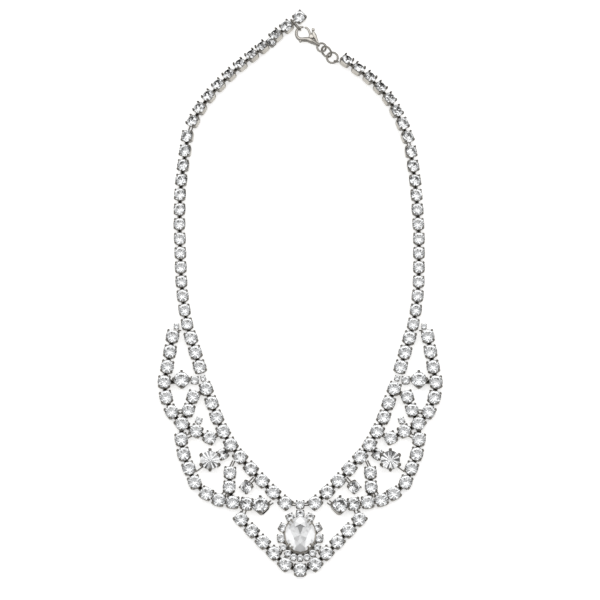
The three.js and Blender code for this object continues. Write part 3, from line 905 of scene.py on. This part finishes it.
def makeClasp():
    eye = {"x": 1.0, "y": 98.7, "radius": 2.45}
    level = 1.6
    pivot = (4.1, 97.3)
    hook = [(88, 0.36, 0.46), (118, 0.50, 0.56), (155, 0.52, 0.62), (200, 0.56, 0.78), (245, 0.70, 1.0)]

    def onEye(angle, wide, high):
        turn = math.radians(angle)
        return (eye["x"] + eye["radius"] * math.cos(turn), eye["y"] + eye["radius"] * math.sin(turn),
                wide, high)

    hookLine = [onEye(*spot) for spot in hook]
    bodyLine = hookLine + [(2.7, 96.35, 0.95, 1.2), (4.1, 95.75, 0.95, 1.3), (5.4, 95.05, 0.72, 1.2),
                           (6.5, 94.3, 0.5, 1.0)]
    tailLine = [(6.45, 94.3, 0.42, 0.95), (7.0, 94.05, 0.34, 0.85)]
    cheekLine = [(4.75, 99.0, 0.42, 0.16), (5.25, 97.8, 0.66, 0.18), (5.85, 96.4, 0.52, 0.2),
                 (6.45, 95.0, 0.36, 0.22)]
    body = joined("claspBody", [
        tubePoints(bodyLine, level), tubePoints(tailLine, level, steps=3),
        tubePoints(cheekLine, 2.62), tubePoints(cheekLine, 0.62),
        dome(*pivot, 2.32, 2.86, 0.95), dome(*pivot, 0.34, 0.88, 0.95), dome(*pivot, 0.5, 2.7, 0.34),
        dome(0.1, 95.75, 1.0, 2.2, 0.5),
    ])
    gate = [(pivot[0] - 0.15, pivot[1] + 0.6, 0.5, 0.36)] + [
        onEye(angle, 0.42, 0.36) for angle in (10, 30, 50, 69)]
    thumb = [(pivot[0] + 0.1, pivot[1] + 0.5, 0.5, 0.36), (4.55, 99.0, 0.34, 0.33),
             (4.75, 100.0, 0.3, 0.33)]
    hub = []
    sides = 24
    rings = [(0.68, 1.25), (1.0, 1.25), (1.06, 1.6), (1.0, 1.95), (0.68, 1.95)]
    for reach, height in rings:
        for j in range(sides):
            angle = 2 * math.pi * j / sides
            hub.append(Vector((pivot[0] + reach * math.cos(angle), pivot[1] + reach * math.sin(angle),
                               height)) * mm)
    hubFaces = [(a * sides + j, a * sides + (j + 1) % sides, b * sides + (j + 1) % sides, b * sides + j)
                for a, b in ((0, 1), (1, 2), (2, 3), (3, 4), (4, 0)) for j in range(sides)]
    lever = joined("claspLever", [
        tubePoints(gate, level), tubePoints(thumb, level), (hub, hubFaces),
        dome(4.75, 100.1, 1.2, 2.4, 0.58),
    ])
    finishPiece(body, "necklace", ["clasp_body"])
    finishPiece(lever, "lever", ["clasp_lever"])


makeClasp()
print("clasp made")

for shape in (cupShape, neckCupShape, roundCupShape, prongShape, stoneShape, pleatedShape):
    bpy.data.objects.remove(shape)


# Floor, light and camera.

def makeStage():
    # A white table that glows a little; metal and stones mirror one flat tone in its place.
    look = {"side": 0.9, "tone": (0.94, 0.94, 0.93), "glow": 0.60, "mirrored": (0.90, 0.90, 0.89)}
    material, graph = newMaterial("paleFloor")
    place = graph.add("ShaderNodeTexCoord")["Object"]
    grain = graph.add("ShaderNodeTexNoise", {}, {"Vector": place, "Scale": 300.0, "Detail": 2.0})["Fac"]
    colour = graph.add("ShaderNodeMix", {"data_type": "RGBA"}, {
        0: grain, 6: (*look["tone"], 1), 7: (0.96, 0.96, 0.96, 1)})[2]
    seen = graph.add("ShaderNodeBsdfPrincipled", {}, {
        "Base Color": colour, "Roughness": 0.8, "Emission Color": (1, 1, 1, 1),
        "Emission Strength": look["glow"]})
    mirrored = graph.add("ShaderNodeEmission", {}, {"Color": (*look["mirrored"], 1)})
    straight = graph.add("ShaderNodeLightPath")["Is Camera Ray"]
    surface = graph.add("ShaderNodeMixShader", {}, {0: straight, 1: mirrored["Emission"], 2: seen["BSDF"]})
    graph.add("ShaderNodeOutputMaterial", {}, {"Surface": surface[0]})
    side = look["side"]
    mesh = newMesh("floor", [(-side, -side, 0), (side, -side, 0), (side, side, 0), (-side, side, 0)],
                   [(0, 1, 2, 3)])
    mesh.transform(Matrix.Translation((0, 0, -0.00002)))
    floor = newObject("floor", mesh)
    floor.data.materials.append(material)


def makeLight():
    # A white light tent with dark openings: azimuth and elevation of each in degrees, how far it
    # reaches, how soft its edge is, and its tone.
    look = {
        "white": 1.45, "low": 0.07,
        "openings": [
            (0, 80, 13, 5, 0.40), (0, 38, 24, 8, 0.04), (72, 53, 8.5, 3, 0.10), (-72, 53, 8.5, 3, 0.10),
            (145, 54, 8.5, 3, 0.10), (-145, 54, 8.5, 3, 0.10),
            (33, 64, 5.5, 2, 0.18), (-33, 64, 5.5, 2, 0.18),
        ],
    }
    world = bpy.data.worlds.new("lightTent")
    world.use_nodes = True
    world.node_tree.nodes.clear()
    graph = Graph(world.node_tree)
    direction = graph.add("ShaderNodeTexCoord")["Generated"]
    height = graph.add("ShaderNodeSeparateXYZ", {}, {"Vector": direction})["Z"]
    tone = graph.add("ShaderNodeValToRGB", {"stops": [
        (0.0, look["low"]), (0.52, look["low"]), (0.66, 1.0), (1.0, 1.0)]}, {"Fac": height})["Color"]
    for azimuth, elevation, reach, soft, dark in look["openings"]:
        turn, rise = math.radians(azimuth), math.radians(elevation)
        towards = (-math.sin(turn) * math.cos(rise), -math.cos(turn) * math.cos(rise), math.sin(rise))
        near = graph.add("ShaderNodeVectorMath", {"operation": "DOT_PRODUCT"}, {
            0: direction, 1: towards})["Value"]
        inside = graph.add("ShaderNodeMapRange", {"interpolation_type": "SMOOTHSTEP"}, {
            "Value": near, "From Min": math.cos(math.radians(reach + soft)),
            "From Max": math.cos(math.radians(reach))})["Result"]
        tone = graph.add("ShaderNodeMix", {"data_type": "RGBA"}, {
            0: inside, 6: tone, 7: (dark, dark, dark, 1)})[2]
    light = graph.add("ShaderNodeBackground", {}, {"Color": tone, "Strength": look["white"]})
    graph.add("ShaderNodeOutputWorld", {}, {"Surface": light["Background"]})
    bpy.context.scene.world = world


def makeCamera():
    look = {"elevation": 74.5, "distance": 10.0, "lens": 1642.0, "aim": Vector((-0.00007, -0.0022, 0))}
    angle = math.radians(look["elevation"])
    back = Vector((0, -math.cos(angle), math.sin(angle)))
    data = bpy.data.cameras.new("camera")
    data.lens = look["lens"]
    data.sensor_width = 36
    data.clip_start = 0.01
    camera = bpy.data.objects.new("camera", data)
    bpy.context.scene.collection.objects.link(camera)
    camera.location = look["aim"] + back * look["distance"]
    camera.rotation_euler = (math.pi / 2 - angle, 0, 0)
    bpy.context.scene.camera = camera


makeStage()
makeLight()
makeCamera()
bpy.context.scene.view_settings.view_transform = "Standard"
